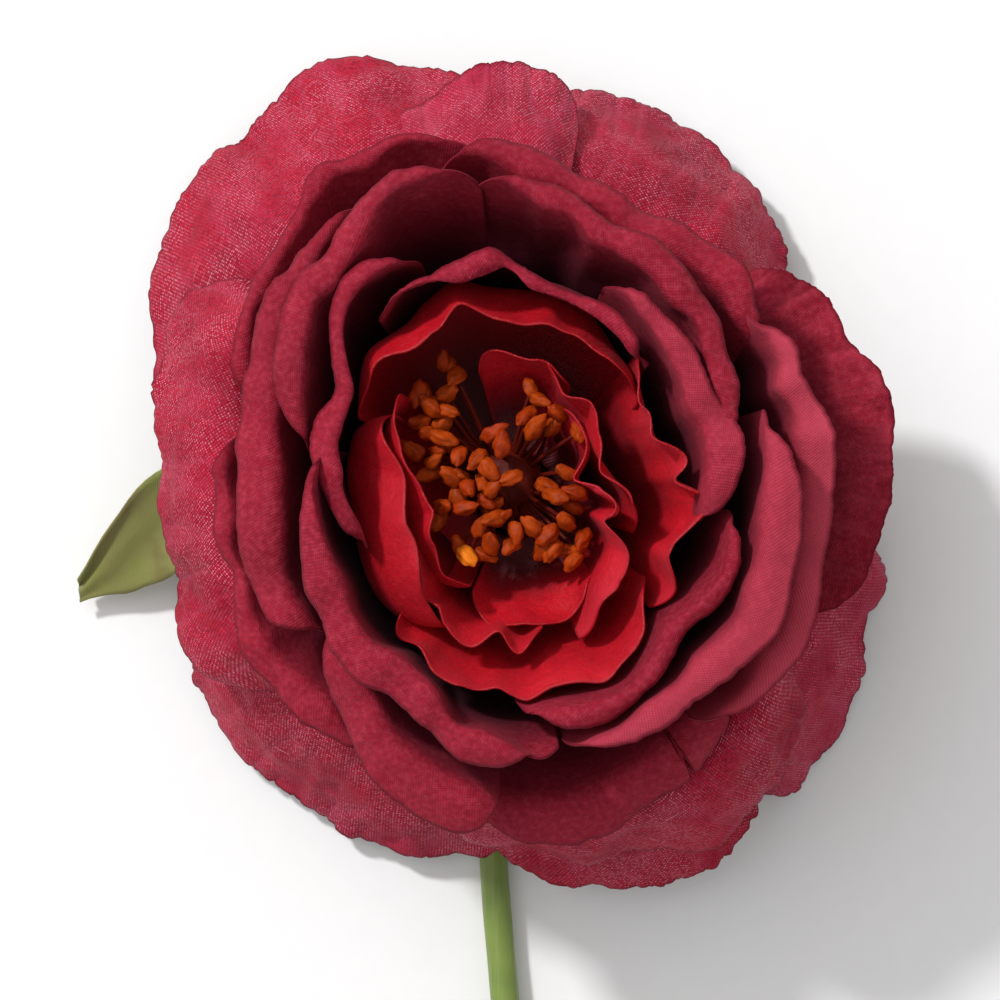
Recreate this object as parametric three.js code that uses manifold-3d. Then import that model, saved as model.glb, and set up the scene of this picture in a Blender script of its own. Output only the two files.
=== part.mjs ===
// An artificial garden rose: fabric petals glued in rows round a moulded core, moulded stamens,
// a die-cut fabric calyx and a plastic-sheathed wire stem. It lies on a table with its open face
// up, its stem bent flat along the table. Millimetres and degrees, +Z up.

import * as THREE from 'three';
import Module from 'manifold-3d';
import { mergeVertices } from 'three/addons/utils/BufferGeometryUtils.js';

const wasm = await Module();
wasm.setup();

// ---- Driving dimensions ----

const SHEATH_RADIUS = 2.15;
const BORE_RADIUS = 1.25;
const WIRE_RADIUS = 0.9;
const BEND_RADIUS = 11.5;
const KNOT_RADIUS = 2.9;
const KNOT_HALF_LENGTH = 7;
const KNOT_TURN = 6; // how far the knot is turned from the length of the table
const KNOT_PLACE = [-0.2, -88, KNOT_RADIUS];
const BEND_TURNS = [0, 30, 60, 90];
// The stem's centre line along the table, from the bend under the flower to the cut end.
const STEM_RUN = [
  [-2.2, -32, SHEATH_RADIUS],
  [-3.2, -52, SHEATH_RADIUS + 0.1],
  [-1.2, -78, KNOT_RADIUS - 0.2],
  KNOT_PLACE,
  [2.4, -112, SHEATH_RADIUS + 0.4],
  [5, -148, SHEATH_RADIUS],
];
const STEM_STEPS = 36;
const WIRE_SIDES = 8;
const SHEATH_SIDES = 10;
const BORE_OVERRUN = 1; // how far the bore is cut past the end of the sheath

const CALYX_BOTTOM = 14.2;
const CALYX_TOP = 17.4;
const CALYX_RADIUS = 6.5;
const CALYX_NECK_WALL = 0.4;
const CALYX_SHOULDER_RADIUS = 5.2;
const CALYX_SHOULDER = 15.6;
const CALYX_SIDES = 24;
const GAP = 0.35;

const CORE_RADIUS = 5.2;
const CORE_BOTTOM = 19.2;
const CORE_TOP = 37.5;
const CORE_HOLE_DEPTH = 8;
const CORE_SIDES = 20;
const WIRE_IN_CORE = 7; // how far the wire stands in the core

const CLOTH = 0.45; // thickness of a petal with its stiffening
const FOOT_RADIUS = 6.0; // where a petal's foot is glued to the core
const FIRST_FOOT = 20.4; // height of the lowest row of feet
const FOOT_PITCH = 0.86; // height from one row of feet to the next
// How full the cups are: 1 is a cone, more is a flatter bottom with a steeper wall.
const CUP_POWER = { outer: 2.6, collar: 2.8, cup: 3.4, roll: 5, heart: 3.6, centre: 3.2 };
const COLUMN_ANGLE = 14; // greatest angle between two columns of a petal's grid
const CORNER_LIP = 0.35; // how much of the lip is left at a petal's two rounded corners
const CORNER_POWER = 6; // how tight the corners are
const DROP_POWER = 1.5; // how the lip bends down: 1 is straight, more starts level

// The petals from the outermost row to the innermost. row counts the rows of glued feet, rim is
// the cut edge as [azimuth, radius], crest is the height where the petal turns over, lip is how
// far it turns outwards from there, and drop is how far the cut edge lies below the crest.
const PETALS = [
  { name: 'outer_petal_upper_left', row: 0, crest: 25, lip: 26, drop: 24.4,
    rim: [[92, 61], [106, 66], [120, 69], [135, 69], [148, 66], [160, 61], [174, 56]] },
  { name: 'outer_petal_lower_left', row: 0, crest: 25, lip: 25, drop: 24.4,
    rim: [[200, 53], [210, 56], [222, 58], [238, 57], [255, 57], [272, 58]] },
  { name: 'outer_petal_lower_right', row: 0, crest: 24, lip: 24, drop: 23.4,
    rim: [[302, 57], [314, 62], [328, 61], [344, 58], [358, 56]] },
  { name: 'outer_petal_upper_right', row: 1, crest: 26.5, lip: 23, drop: 25.9,
    rim: [[32, 51], [42, 56], [55, 61], [68, 63], [80, 61]] },
  { name: 'outer_petal_bottom', row: 1, crest: 28, lip: 24, drop: 16,
    rim: [[262, 53], [276, 58], [290, 62], [303, 61], [311, 57]] },
  { name: 'outer_petal_left', row: 2, crest: 35, lip: 15, drop: 14,
    rim: [[141, 51], [155, 56], [170, 54], [186, 53], [202, 53], [216, 49]] },
  { name: 'outer_petal_top', row: 2, crest: 30, lip: 21, drop: 12,
    rim: [[82, 60], [92, 63], [102, 62], [112, 59], [122, 55]] },
  { name: 'outer_petal_lower_fold', row: 3, crest: 38, lip: 14, drop: 15,
    rim: [[256, 51], [270, 53], [285, 56], [300, 58], [316, 56], [330, 51]] },
  { name: 'outer_petal_right', row: 3, crest: 33, lip: 15, drop: -4.5,
    rim: [[-20, 49], [-6, 54], [6, 56], [18, 57], [30, 53], [43, 49]] },
  { name: 'collar_petal_upper_left', row: 4, crest: 48, lip: 2.5, drop: 1.5,
    rim: [[92, 51], [104, 53], [118, 53], [134, 49], [150, 45], [164, 41]] },
  { name: 'collar_petal_bottom', row: 4, crest: 45, lip: 7, drop: 4,
    rim: [[264, 48], [276, 50], [290, 50], [302, 49], [314, 47]] },
  { name: 'collar_petal_left', row: 5, crest: 48, lip: 4, drop: 3,
    rim: [[168, 43], [184, 43], [198, 43], [214, 45], [228, 44], [238, 43]] },
  { name: 'collar_petal_upper_right', row: 5, crest: 52, lip: 4, drop: 3,
    rim: [[40, 45], [52, 45], [64, 45], [76, 46], [90, 50], [104, 47]] },
  { name: 'cup_petal_left', row: 6, crest: 56, lip: 5, drop: 3,
    rim: [[118, 48], [132, 46], [150, 42], [168, 39], [186, 39], [202, 38], [216, 38]] },
  { name: 'cup_petal_right', row: 6, crest: 55, lip: 4.5, drop: 3,
    rim: [[-46, 45], [-30, 46], [-14, 46], [4, 45], [20, 44], [36, 43]] },
  { name: 'cup_petal_upper_left', row: 7, crest: 61, lip: 4.5, drop: 3,
    rim: [[100, 47], [112, 46], [126, 44], [140, 41], [154, 37], [168, 33]] },
  { name: 'cup_petal_lower_left', row: 7, crest: 55, lip: 6, drop: 3.5,
    rim: [[219, 36], [228, 42], [238, 46], [250, 49], [262, 49]] },
  { name: 'roll_petal_lower_left', row: 8, crest: 63, lip: 4, drop: 3, cup: 3.6,
    rim: [[172, 31], [186, 31], [202, 31], [219, 33], [236, 33.5], [256, 37], [278, 38]] },
  { name: 'roll_petal_lower_right', row: 9, crest: 62, lip: 4, drop: 2.5,
    rim: [[-76, 37], [-62, 39], [-46, 39], [-30, 40], [-12, 40], [2, 39], [12, 38]] },
  { name: 'roll_petal_upper_right', row: 10, crest: 61, lip: 4, drop: 2.5,
    rim: [[14, 35], [28, 37], [44, 38], [60, 40], [78, 42], [96, 46]] },
  { name: 'roll_petal_bottom', row: 11, crest: 62, lip: 2.5, drop: 2,
    rim: [[272, 30.5], [286, 31.5], [300, 32], [314, 31], [330, 32], [342, 32], [352, 31]] },
  { name: 'roll_petal_right', row: 12, crest: 62, lip: 3.5, drop: 2.5,
    rim: [[-2, 28], [10, 28.5], [22, 29], [36, 31], [50, 33], [66, 33]] },
  { name: 'roll_petal_left', row: 12, crest: 61, lip: 3, drop: 2.5,
    rim: [[114, 38], [128, 38], [140, 33], [156, 29], [172, 26], [194, 24]] },
  { name: 'roll_petal_top', row: 13, crest: 61, lip: 2, drop: 1.5,
    rim: [[46, 26], [62, 26.5], [78, 27.5], [94, 32], [106, 32], [122, 32]] },
  { name: 'heart_petal_right', row: 14, crest: 58, lip: 1, drop: 0.5,
    rim: [[-36, 25], [-20, 24], [-4, 22.5], [12, 21], [28, 22], [44, 23]] },
  { name: 'heart_petal_top', row: 15, crest: 57, lip: 0.6, drop: 0.4,
    rim: [[38, 19], [56, 21.5], [76, 23], [94, 25.5], [112, 26], [132, 25], [152, 24]] },
  { name: 'heart_petal_bottom', row: 15, crest: 57, lip: 1, drop: 0.5,
    rim: [[228, 25], [246, 26.5], [262, 26], [280, 25.5], [300, 25], [318, 23]] },
  { name: 'heart_petal_left', row: 16, crest: 56, lip: 0.6, drop: 0.4,
    rim: [[146, 21], [164, 20], [182, 19], [202, 19], [222, 21], [242, 22]] },
  { name: 'heart_petal_upper_right', row: 16, crest: 55, lip: 0.6, drop: 0.4,
    rim: [[-14, 19], [2, 18], [20, 17], [38, 17], [56, 18], [74, 20]] },
  { name: 'heart_petal_lower_left', row: 17, crest: 54, lip: 0.6, drop: 0.4,
    rim: [[204, 16], [222, 17], [240, 18], [258, 19.5], [280, 20]] },
  { name: 'centre_petal_left', row: 18, crest: 54, lip: 0.6, drop: 0.4,
    rim: [[144, 17], [162, 15], [180, 13], [200, 13], [220, 13], [238, 14]] },
  { name: 'centre_petal_right', row: 18, crest: 53, lip: 0.6, drop: 0.4,
    rim: [[-64, 17], [-44, 16], [-24, 15], [-4, 14], [18, 13], [40, 13], [62, 15]] },
  { name: 'centre_petal_bottom', row: 19, crest: 50, lip: 0.6, drop: 0.4,
    rim: [[250, 14], [265, 15], [280, 15], [292, 14]] },
  { name: 'centre_petal_top', row: 19, crest: 51, lip: 0.6, drop: 0.4,
    rim: [[70, 17], [84, 19], [98, 19]] },
];

// The five sepals of the calyx star as [azimuth, length, greatest width, height of the tip].
const SEPALS = [
  [189, 66, 17, 2.5],
  [118, 42, 14, 12],
  [46, 38, 14, 13],
  [-26, 40, 14, 12],
  [258, 36, 14, 13],
];
const STAR_HEIGHT = 18.5;
const STAR_HUB_RADIUS = 7;
const SEPAL_FLAT_REACH = 10; // how far from the axis a sepal stays level before it droops
const SEPAL_DROOP = 1.2;
const SEPAL_THICKNESS = 0.4;
const STAR_SIDES = 20;
const STAR_HOLE_SIDES = 12;

const BUTTON_RADIUS = 5.4;
const BUTTON_HEIGHT = 3.6;
const FILAMENT_RADIUS = 0.35;
const ANTHER_LENGTH = 3.2;
const ANTHER_RADIUS = 0.95;
const BUTTON_SHOULDER = 0.4; // height of the button's straight side, against its whole height
const BUTTON_CROWN = [0.7, 0.85]; // radius and height of the button's rounded edge, as shares
const BUTTON_SIDES = 16;
const FILAMENT_ROOT = 0.6; // where a filament leaves the button, against its reach
const FILAMENT_BOW = 0.6;
const FILAMENT_SIDES = 4;
const FILAMENT_STEPS = 2;
const ANTHER_SIDES = 6;
const ANTHER_RINGS = 4;
const REACH_SCATTER = 0.5;
const HEIGHT_SCATTER = 1;
// The rings of stamens as [count, reach from the axis, height of the anthers, start azimuth].
const STAMEN_RINGS = [
  [6, 3.2, 47.5, 20],
  [9, 6.2, 48.0, 5],
  [11, 8.4, 47.0, 12],
];

// ---- Materials ----

function finish(color, roughness, metalness = 0) {
  return new THREE.MeshStandardMaterial({ color, roughness, metalness });
}

const crimsonCloth = () => finish('#a5304a', 0.75);
const redCloth = () => finish('#8e2338', 0.85);
const scarletCloth = () => finish('#b3121c', 0.6);
const oliveCloth = () => finish('#75793c', 0.8);
const greenPlastic = () => finish('#77903f', 0.45);
const orangePlastic = () => finish('#b4501c', 0.5);
const darkFoam = () => finish('#4a1420', 0.9);
const steelWire = () => finish('#8d8f92', 0.4, 1);

// ---- Solids ----

function mesh(name, geometry, material) {
  const piece = new THREE.Mesh(geometry, material);
  piece.name = name;
  return piece;
}

function solid(geometry) {
  const plain = geometry.clone();
  plain.deleteAttribute('normal');
  plain.deleteAttribute('uv');
  const merged = mergeVertices(plain, 1e-4);
  return new wasm.Manifold(new wasm.Mesh({
    numProp: 3,
    vertProperties: new Float32Array(merged.attributes.position.array),
    triVerts: new Uint32Array(merged.index.array),
  }));
}

function geometryOf(manifold) {
  const made = manifold.getMesh();
  const geometry = new THREE.BufferGeometry();
  geometry.setAttribute('position', new THREE.BufferAttribute(made.vertProperties, 3));
  geometry.setIndex(new THREE.BufferAttribute(made.triVerts, 1));
  geometry.computeVertexNormals();
  return geometry;
}

function disc(radius, sides) {
  const shape = new THREE.Shape();
  for (let i = 0; i < sides; i += 1) {
    const angle = (i / sides) * Math.PI * 2;
    if (i === 0) shape.moveTo(radius, 0);
    else shape.lineTo(radius * Math.cos(angle), radius * Math.sin(angle));
  }
  shape.closePath();
  return shape;
}

function tubeAlong(path, radius, sides, steps) {
  return new THREE.ExtrudeGeometry(disc(radius, sides), { steps, extrudePath: path, curveSegments: 1 });
}

// A closed sheet of even thickness from a grid of points on its middle surface, rows[row][column].
// A row runs counter-clockwise round the flower, and the rows run from the foot to the rim.
function thickSheet(rows, thickness) {
  const height = rows.length;
  const width = rows[0].length;
  const at = (row, column) => rows[THREE.MathUtils.clamp(row, 0, height - 1)][
    THREE.MathUtils.clamp(column, 0, width - 1)];
  const positions = [];
  for (const side of [1, -1]) {
    for (let row = 0; row < height; row += 1) {
      for (let column = 0; column < width; column += 1) {
        const across = at(row, column + 1).clone().sub(at(row, column - 1));
        const along = at(row + 1, column).clone().sub(at(row - 1, column));
        const normal = across.cross(along).normalize().multiplyScalar((side * thickness) / 2);
        positions.push(...at(row, column).clone().add(normal).toArray());
      }
    }
  }
  const index = (side, row, column) => (side * height + row) * width + column;
  const faces = [];
  const quad = (a, b, c, d) => faces.push(a, b, c, a, c, d);
  for (let row = 0; row + 1 < height; row += 1) {
    for (let column = 0; column + 1 < width; column += 1) {
      quad(index(0, row, column), index(0, row, column + 1),
        index(0, row + 1, column + 1), index(0, row + 1, column));
      quad(index(1, row, column), index(1, row + 1, column),
        index(1, row + 1, column + 1), index(1, row, column + 1));
    }
  }
  for (let row = 0; row + 1 < height; row += 1) {
    quad(index(0, row, 0), index(0, row + 1, 0), index(1, row + 1, 0), index(1, row, 0));
    quad(index(0, row + 1, width - 1), index(0, row, width - 1),
      index(1, row, width - 1), index(1, row + 1, width - 1));
  }
  for (let column = 0; column + 1 < width; column += 1) {
    quad(index(0, 0, column + 1), index(0, 0, column), index(1, 0, column), index(1, 0, column + 1));
    quad(index(0, height - 1, column), index(0, height - 1, column + 1),
      index(1, height - 1, column + 1), index(1, height - 1, column));
  }
  const geometry = new THREE.BufferGeometry();
  geometry.setAttribute('position', new THREE.Float32BufferAttribute(positions, 3));
  geometry.setIndex(faces);
  geometry.computeVertexNormals();
  return geometry;
}

function polar(azimuth, radius, height) {
  const angle = THREE.MathUtils.degToRad(azimuth);
  return new THREE.Vector3(radius * Math.cos(angle), radius * Math.sin(angle), height);
}

// ---- Petals ----

// Where along the way from foot to crest, and from crest to cut edge, the grid's rows lie.
const WALL_STATIONS = [0, 0.5, 0.74, 0.89, 1];
const LONG_LIP = 8;
const LIP_STATIONS = { short: [1], long: [0.5, 1] };

function groupOf(petal) {
  return petal.name.split('_')[0];
}

function petalColumn(petal, azimuth, rimRadius, lipLeft) {
  const foot = FIRST_FOOT + FOOT_PITCH * petal.row;
  const crestRadius = rimRadius - petal.lip;
  const power = petal.cup ?? CUP_POWER[groupOf(petal)];
  const wall = WALL_STATIONS.map((station) => polar(
    azimuth,
    FOOT_RADIUS + (crestRadius - FOOT_RADIUS) * station,
    foot + (petal.crest - foot) * station ** power,
  ));
  const stations = petal.lip > LONG_LIP ? LIP_STATIONS.long : LIP_STATIONS.short;
  const lip = stations.map((station) => polar(
    azimuth,
    crestRadius + petal.lip * station * lipLeft,
    petal.crest - petal.drop * (station * lipLeft) ** DROP_POWER,
  ));
  return [...wall, ...lip];
}

function petalGeometry(petal) {
  const marks = petal.rim.map(([azimuth, radius]) => new THREE.Vector2(azimuth, radius));
  const rim = new THREE.SplineCurve(marks);
  const span = petal.rim.at(-1)[0] - petal.rim[0][0];
  const cells = Math.ceil(span / COLUMN_ANGLE);
  const columns = [];
  for (let cell = 0; cell <= cells; cell += 1) {
    const across = cell / cells;
    const { x: azimuth, y: radius } = rim.getPoint(across);
    const side = Math.abs(2 * across - 1);
    columns.push(petalColumn(petal, azimuth, radius, 1 - (1 - CORNER_LIP) * side ** CORNER_POWER));
  }
  const rows = columns[0].map((_, row) => columns.map((column) => column[row]));
  return thickSheet(rows, CLOTH);
}

const CLOTH_OF_GROUP = { outer: crimsonCloth, collar: redCloth, cup: redCloth, roll: redCloth,
  heart: scarletCloth, centre: scarletCloth };

function petals() {
  const group = new THREE.Group();
  for (const petal of PETALS) {
    const cloth = CLOTH_OF_GROUP[groupOf(petal)];
    group.add(mesh(petal.name, petalGeometry(petal), cloth()));
  }
  return group;
}

// ---- Calyx ----

// How wide a sepal is at each station along it, against its greatest width.
const SEPAL_STATIONS = [[0, 0.45], [0.2, 0.7], [0.4, 1], [0.6, 0.95], [0.8, 0.7], [1, 0.28]];

function sepalGeometry([azimuth, length, width, tipHeight]) {
  const root = STAR_HUB_RADIUS / 2;
  const rows = SEPAL_STATIONS.map(([station, fullness]) => {
    const reach = root + (length - root) * station;
    const droop = Math.max(0, (reach - SEPAL_FLAT_REACH) / (length - SEPAL_FLAT_REACH)) ** SEPAL_DROOP;
    const height = STAR_HEIGHT - (STAR_HEIGHT - tipHeight) * droop;
    return [-1, 0, 1].map((side) => new THREE.Vector3(reach, (side * width * fullness) / 2, height));
  });
  const sepal = thickSheet(rows, SEPAL_THICKNESS);
  sepal.rotateZ(THREE.MathUtils.degToRad(azimuth));
  return sepal;
}

function uprightCylinder(radius, height, sides, middle) {
  const cylinder = new THREE.CylinderGeometry(radius, radius, height, sides);
  cylinder.rotateX(Math.PI / 2);
  cylinder.translate(0, 0, middle);
  return solid(cylinder);
}

function calyxStar() {
  let star = uprightCylinder(STAR_HUB_RADIUS, SEPAL_THICKNESS, STAR_SIDES, STAR_HEIGHT);
  for (const sepal of SEPALS) star = star.add(solid(sepalGeometry(sepal)));
  const hole = uprightCylinder(BORE_RADIUS, 4 * SEPAL_THICKNESS, STAR_HOLE_SIDES, STAR_HEIGHT);
  return mesh('calyx_star', geometryOf(star.subtract(hole)), oliveCloth());
}

function calyxCup() {
  const profile = [
    [BORE_RADIUS, CALYX_BOTTOM],
    [SHEATH_RADIUS + CALYX_NECK_WALL, CALYX_BOTTOM],
    [CALYX_SHOULDER_RADIUS, CALYX_SHOULDER],
    [CALYX_RADIUS, CALYX_TOP],
    [BORE_RADIUS, CALYX_TOP],
    [BORE_RADIUS, CALYX_BOTTOM],
  ].map(([radius, height]) => new THREE.Vector2(radius, height));
  const cup = new THREE.LatheGeometry(profile, CALYX_SIDES);
  cup.rotateX(Math.PI / 2);
  return mesh('calyx_cup', geometryOf(solid(cup)), greenPlastic());
}

// ---- Core and stamens ----

function core() {
  const wireHole = CORE_BOTTOM + CORE_HOLE_DEPTH;
  const profile = [
    [0, wireHole],
    [BORE_RADIUS, wireHole],
    [BORE_RADIUS, CORE_BOTTOM],
    [CORE_RADIUS, CORE_BOTTOM],
    [CORE_RADIUS, CORE_TOP],
    [0, CORE_TOP],
  ].map(([radius, height]) => new THREE.Vector2(radius, height));
  const body = new THREE.LatheGeometry(profile, CORE_SIDES);
  body.rotateX(Math.PI / 2);
  return mesh('petal_core', geometryOf(solid(body)), darkFoam());
}

function stamen(reach, azimuth, height) {
  const rootReach = Math.min(reach, BUTTON_RADIUS) * FILAMENT_ROOT;
  const root = polar(azimuth, rootReach, CORE_TOP + GAP + BUTTON_HEIGHT * BUTTON_SHOULDER);
  const tip = polar(azimuth, reach, height - ANTHER_LENGTH / 2);
  const bow = root.clone().lerp(tip, 0.5).add(polar(azimuth, FILAMENT_BOW, 0));
  const path = new THREE.QuadraticBezierCurve3(root, bow, tip);
  const filament = tubeAlong(path, FILAMENT_RADIUS, FILAMENT_SIDES, FILAMENT_STEPS);
  const anther = new THREE.SphereGeometry(1, ANTHER_SIDES, ANTHER_RINGS);
  anther.scale(ANTHER_RADIUS, ANTHER_RADIUS, ANTHER_LENGTH / 2);
  const lean = new THREE.Quaternion().setFromUnitVectors(
    new THREE.Vector3(0, 0, 1),
    path.getTangent(1),
  );
  anther.applyQuaternion(lean);
  anther.translate(tip.x, tip.y, tip.z + ANTHER_LENGTH / 4);
  return solid(filament).add(solid(anther));
}

function stamens() {
  const profile = [
    [0, 0],
    [BUTTON_RADIUS, 0],
    [BUTTON_RADIUS, BUTTON_HEIGHT * BUTTON_SHOULDER],
    [BUTTON_RADIUS * BUTTON_CROWN[0], BUTTON_HEIGHT * BUTTON_CROWN[1]],
    [0, BUTTON_HEIGHT],
  ].map(([radius, height]) => new THREE.Vector2(radius, height));
  const button = new THREE.LatheGeometry(profile, BUTTON_SIDES);
  button.rotateX(Math.PI / 2);
  button.translate(0, 0, CORE_TOP + GAP);
  let cluster = solid(button);
  for (const [count, reach, height, start] of STAMEN_RINGS) {
    for (let i = 0; i < count; i += 1) {
      const azimuth = start + (i * 360) / count;
      cluster = cluster.add(stamen(
        reach + (i % 3) * REACH_SCATTER,
        azimuth,
        height - (i % 2) * HEIGHT_SCATTER,
      ));
    }
  }
  return mesh('stamens', geometryOf(cluster), orangePlastic());
}

// ---- Stem ----

// The centre line of the stem from inside the flower to its cut end.
function stemPath(top) {
  const bend = SHEATH_RADIUS + BEND_RADIUS;
  const points = [new THREE.Vector3(0, 0, top), new THREE.Vector3(0, 0, (top + bend) / 2)];
  for (const turn of BEND_TURNS) {
    const angle = THREE.MathUtils.degToRad(turn);
    points.push(new THREE.Vector3(0, -BEND_RADIUS * (1 - Math.cos(angle)),
      bend - BEND_RADIUS * Math.sin(angle)));
  }
  points.push(...STEM_RUN.map((point) => new THREE.Vector3(...point)));
  return new THREE.CatmullRomCurve3(points, false, 'centripetal');
}

function stemSheath() {
  const path = stemPath(CALYX_BOTTOM - GAP);
  const knot = new THREE.SphereGeometry(1, 12, 8);
  knot.scale(KNOT_RADIUS, KNOT_HALF_LENGTH, KNOT_RADIUS);
  knot.rotateZ(THREE.MathUtils.degToRad(KNOT_TURN));
  knot.translate(...KNOT_PLACE);
  const tube = solid(tubeAlong(path, SHEATH_RADIUS, SHEATH_SIDES, STEM_STEPS));
  const borePath = stemPath(CALYX_BOTTOM + BORE_OVERRUN);
  const bore = solid(tubeAlong(borePath, BORE_RADIUS, WIRE_SIDES, STEM_STEPS));
  return mesh('stem_sheath', geometryOf(tube.add(solid(knot)).subtract(bore)), greenPlastic());
}

function stemWire() {
  const path = stemPath(CORE_BOTTOM + WIRE_IN_CORE);
  return mesh('stem_wire', tubeAlong(path, WIRE_RADIUS, WIRE_SIDES, STEM_STEPS), steelWire());
}

// ---- Assembly ----

const rose = new THREE.Group();
rose.add(stemWire(), stemSheath(), calyxCup(), calyxStar(), core(), stamens(), petals());

// The origin is at the bottom centre of the whole rose's box.
const object = new THREE.Group();
object.add(rose);
const box = new THREE.Box3().setFromObject(rose, true);
const centre = box.getCenter(new THREE.Vector3());
rose.position.set(-centre.x, -centre.y, -box.min.z);

export default object;
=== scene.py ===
import math

import bmesh
import bpy
from mathutils import Matrix, Vector, noise


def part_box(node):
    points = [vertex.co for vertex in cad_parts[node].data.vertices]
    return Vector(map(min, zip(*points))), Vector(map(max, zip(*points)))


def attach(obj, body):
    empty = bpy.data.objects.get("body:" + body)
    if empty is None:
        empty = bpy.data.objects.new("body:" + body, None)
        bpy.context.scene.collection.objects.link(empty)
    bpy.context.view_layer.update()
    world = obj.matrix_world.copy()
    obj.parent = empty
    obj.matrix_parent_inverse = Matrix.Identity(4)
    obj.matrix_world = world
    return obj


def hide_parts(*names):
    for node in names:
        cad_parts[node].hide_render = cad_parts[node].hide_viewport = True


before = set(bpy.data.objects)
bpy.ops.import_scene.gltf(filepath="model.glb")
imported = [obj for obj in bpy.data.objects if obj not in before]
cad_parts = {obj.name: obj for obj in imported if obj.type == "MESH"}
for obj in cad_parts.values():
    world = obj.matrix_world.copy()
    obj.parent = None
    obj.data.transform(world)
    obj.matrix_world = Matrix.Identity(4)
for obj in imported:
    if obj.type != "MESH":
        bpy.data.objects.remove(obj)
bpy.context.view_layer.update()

MM = 0.001

# ---- Place of the flower ----
# The rose lies on a table with its open face up. Every petal, sepal and stamen is measured from the
# upright axis of the moulded core that they are glued to, and the heights count from the table.
CORE_LOW, CORE_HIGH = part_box("petal_core")
CORE_BOTTOM = 19.2
CORE_MIDDLE = (CORE_LOW + CORE_HIGH) / 2
AXIS = Vector((CORE_MIDDLE.x, CORE_MIDDLE.y, CORE_LOW.z - CORE_BOTTOM * MM))


def at(x, y, z):
    """A point in millimetres from the core's axis, in the object's own metres."""
    return AXIS + Vector((x, y, z)) * MM


def piece_from(name, shape, material):
    """A new piece from a finished bmesh, which rides on the one body."""
    mesh = bpy.data.meshes.new(name)
    shape.to_mesh(mesh)
    shape.free()
    mesh.polygons.foreach_set("use_smooth", [True] * len(mesh.polygons))
    piece = bpy.data.objects.new(name, mesh)
    bpy.context.scene.collection.objects.link(piece)
    mesh.materials.append(material)
    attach(piece, "root")
    return piece


class Nodes:
    """A material's node tree, with short calls for the nodes that the finishes need."""

    def __init__(self, name):
        self.material = bpy.data.materials.new(name)
        self.material.use_nodes = True
        self.tree = self.material.node_tree
        self.tree.nodes.clear()
        self.output = self.tree.nodes.new("ShaderNodeOutputMaterial")

    def add(self, kind, inputs=None, **settings):
        node = self.tree.nodes.new(kind)
        for key, value in settings.items():
            setattr(node, key, value)
        for key, value in (inputs or {}).items():
            if isinstance(value, bpy.types.NodeSocket):
                self.tree.links.new(value, node.inputs[key])
            else:
                node.inputs[key].default_value = value
        return node

    def place(self, source, scale):
        coordinates = self.add("ShaderNodeTexCoord").outputs[source]
        mapping = self.add("ShaderNodeMapping", {"Vector": coordinates, "Scale": scale})
        return mapping.outputs["Vector"]

    def noise(self, vector, scale, detail=3.0, roughness=0.5):
        found = self.add("ShaderNodeTexNoise", {
            "Vector": vector, "Scale": scale, "Detail": detail, "Roughness": roughness})
        return found.outputs["Fac"]

    def span(self, value, low, high, to_low=0.0, to_high=1.0):
        return self.add("ShaderNodeMapRange", {
            "Value": value, "From Min": low, "From Max": high, "To Min": to_low, "To Max": to_high,
        }).outputs["Result"]

    def math(self, operation, a, b=0.0):
        return self.add("ShaderNodeMath", {0: a, 1: b}, operation=operation).outputs[0]

    def blend(self, share, a, b):
        return self.add("ShaderNodeMix", {0: share, 6: a, 7: b}, data_type="RGBA").outputs[2]

    def attribute(self, name):
        return self.add("ShaderNodeAttribute", attribute_name=name).outputs["Fac"]

    def bump(self, height, distance, strength=1.0, under=None):
        inputs = {"Height": height, "Distance": distance, "Strength": strength}
        if under is not None:
            inputs["Normal"] = under
        return self.add("ShaderNodeBump", inputs).outputs["Normal"]

    def finish(self, color, roughness, normal, light_through=0.0, more=None):
        inputs = {"Base Color": color, "Roughness": roughness, "Normal": normal, **(more or {})}
        surface = self.add("ShaderNodeBsdfPrincipled", inputs).outputs[0]
        if light_through:
            behind = self.add("ShaderNodeBsdfTranslucent", {"Color": color, "Normal": normal})
            surface = self.add("ShaderNodeMixShader", {
                0: light_through, 1: surface, 2: behind.outputs[0]}).outputs[0]
        self.tree.links.new(surface, self.output.inputs["Surface"])
        return self.material


# ---- Stem ----
# A steel wire inside a soft plastic sheath moulded in satin green, with a knot where a leaf stalk
# would branch off. The wire runs on up into the core, so the stem can be bent by hand.
SHEATH_RADIUS = 2.15
STEM_SIDES = 32
STEM_POINTS = [
    (0, 0, 13.85), (0, 0, 13.7), (0, -1.54, 7.9), (0, -5.75, 3.69), (0, -11.5, 2.15),
    (-1.2, -21, 2.15), (-2.2, -32, 2.15), (-3.2, -52, 2.25), (-1.2, -78, 2.7),
    (-0.2, -88, 2.9), (2.4, -112, 2.55), (5, -148, 2.15),
]
KNOT_MIDDLE = 88
KNOT_HALF_LENGTH = 9.0
KNOT_SWELL = 0.8
KNOT_TAPER = 2.5
SHEATH_RIPPLE = 0.05
RIPPLES_PER_METRE = 140
STEM_STATIONS = 260


def spline(points, share):
    """A point a share of the way along a smooth curve through evenly counted points."""
    place = share * (len(points) - 1)
    first = min(int(place), len(points) - 2)
    t = place - first
    a, b, c, d = (points[min(max(first + step, 0), len(points) - 1)] for step in (-1, 0, 1, 2))
    return [
        0.5 * (2 * q + (r - p) * t + (2 * p - 5 * q + 4 * r - s) * t * t
               + (3 * q - p - 3 * r + s) * t ** 3)
        for p, q, r, s in zip(a, b, c, d)
    ]


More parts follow.
